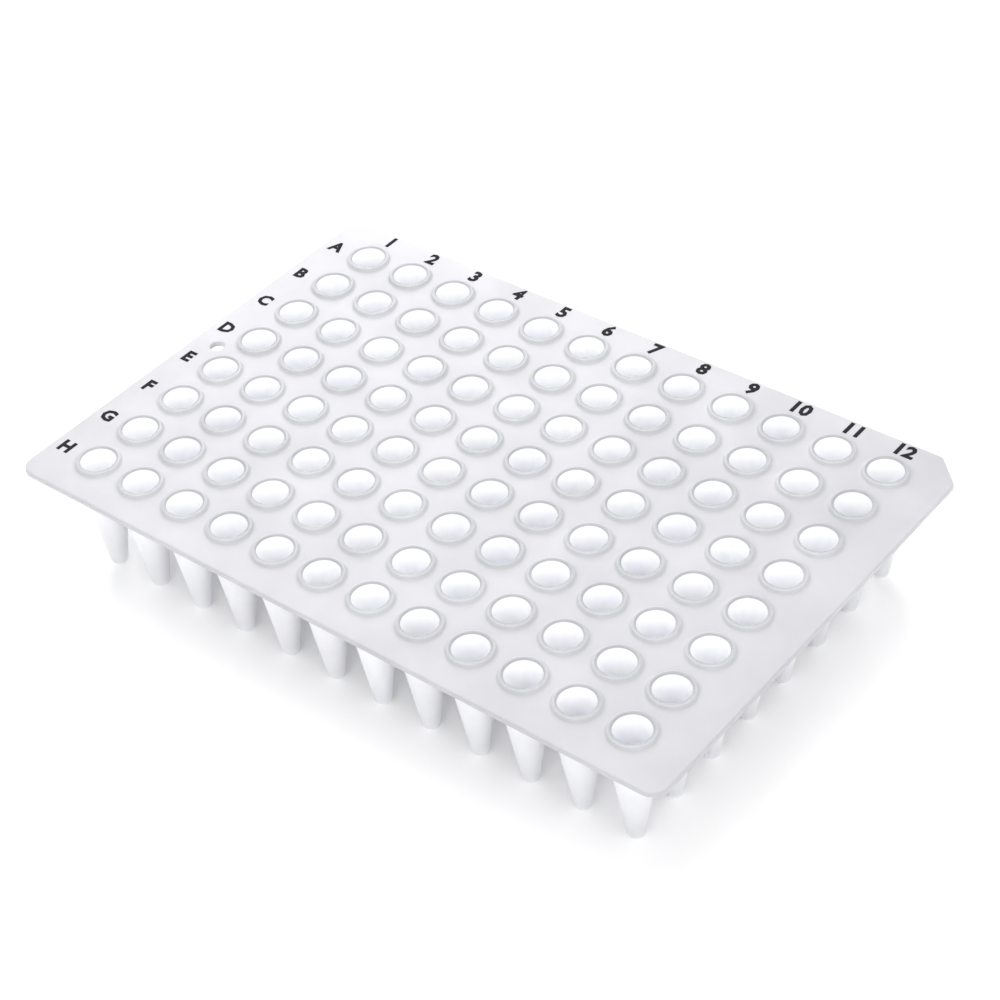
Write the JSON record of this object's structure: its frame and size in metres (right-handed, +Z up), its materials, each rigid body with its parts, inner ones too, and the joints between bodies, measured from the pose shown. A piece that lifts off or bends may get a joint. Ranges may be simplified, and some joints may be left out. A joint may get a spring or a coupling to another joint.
{
  "type": "pcr plate",
  "caption": "Skirtless thin-walled PCR plate: a flat deck with one cut corner carries a grid of tapered wells with raised rims and blunt tips, for a thermal cycler's block.",
  "frame": {"origin": "under the middle of the well grid, on the surface that the well tips stand on", "axes": "+Z up out of the wells; +X along a row of wells from column 1 to column 12; +Y along a column of wells from row H to row A"},
  "size_m": [0.118, 0.0786, 0.0206],
  "materials": {
    "polypropylene": "natural polypropylene, milky and faintly glossy",
    "index_ink": "black ink, printed on the deck"
  },
  "bodies": {
    "root": {"plate": "polypropylene"}
  },
  "joints": []
}
